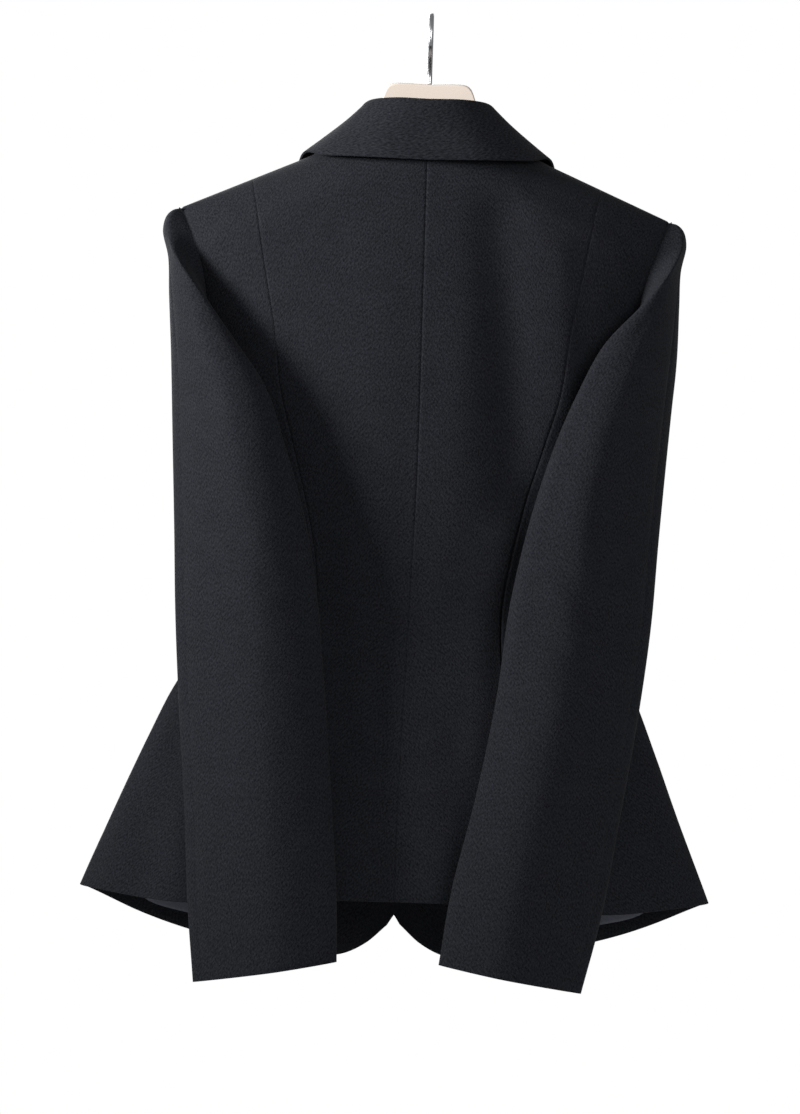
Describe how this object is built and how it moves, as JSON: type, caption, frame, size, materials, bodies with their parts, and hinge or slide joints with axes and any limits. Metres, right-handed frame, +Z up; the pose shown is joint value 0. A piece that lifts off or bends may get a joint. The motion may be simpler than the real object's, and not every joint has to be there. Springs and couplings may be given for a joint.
{
  "type": "fitted peplum blazer on a clothes hanger",
  "caption": "Tailored blazer with princess seams, a turned-down collar and a flared hem, hanging from the hook of a contoured hanger with its sleeves swung to the back",
  "frame": {"origin": "the inner top of the hanger's hook, where a rail carries it", "axes": "+Z up; the garment's front faces -Y and its back +Y; +X is the wearer's left"},
  "size_m": [0.4862, 0.1814, 0.7479],
  "materials": {
    "suiting": "matte",
    "lining": "satin",
    "button": "satin",
    "wood": "satin",
    "steel": "brushed"
  },
  "bodies": {
    "root": {"back_left": "suiting", "back_right": "suiting", "side_back_left": "suiting", "side_back_right": "suiting", "front_left": "suiting", "front_right": "suiting", "sleeve_upper_left": "suiting", "sleeve_under_left": "suiting", "sleeve_upper_right": "suiting", "sleeve_under_right": "suiting", "collar": "suiting", "lapel_left": "suiting", "lapel_right": "suiting", "lining_left": "lining", "lining_right": "lining", "button": "button", "hanger_body": "wood", "hanger_hook": "steel"}
  },
  "joints": []
}
